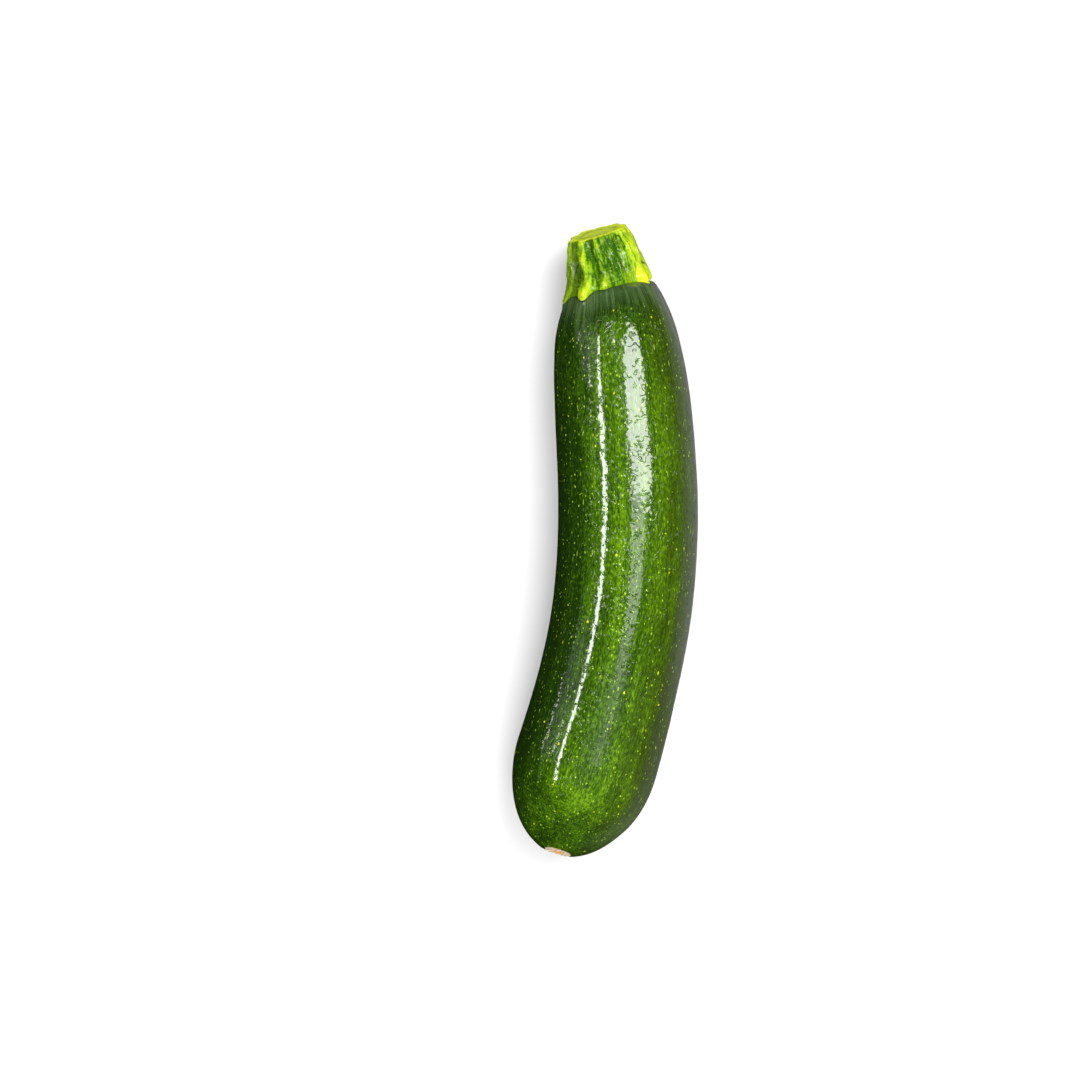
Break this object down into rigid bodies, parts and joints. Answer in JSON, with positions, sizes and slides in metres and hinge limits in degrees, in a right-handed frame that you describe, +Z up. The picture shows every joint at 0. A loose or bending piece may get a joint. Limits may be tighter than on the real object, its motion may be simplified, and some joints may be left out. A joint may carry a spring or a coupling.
{
  "type": "zucchini",
  "caption": "Whole fresh zucchini lying on its side, slightly bent, with a ridged stub of stem at one end and a small blossom scar at the other.",
  "frame": {"origin": "on the surface it rests on, under the middle of the whole zucchini's box", "axes": "+Z up; +Y along the length, from the blossom scar to the cut stem; +X to the right of someone who looks down on it with the stem pointing away, which is the side that the bend bulges to"},
  "size_m": [0.0588, 0.2005, 0.0444],
  "materials": {
    "skin": "smooth waxy dark green skin with small pale flecks and fine lengthwise streaks",
    "stem": "fibrous yellow-green stem, darker in its grooves, with a pale cut face"
  },
  "bodies": {
    "root": {"fruit": "skin", "stem": "stem"}
  },
  "joints": []
}
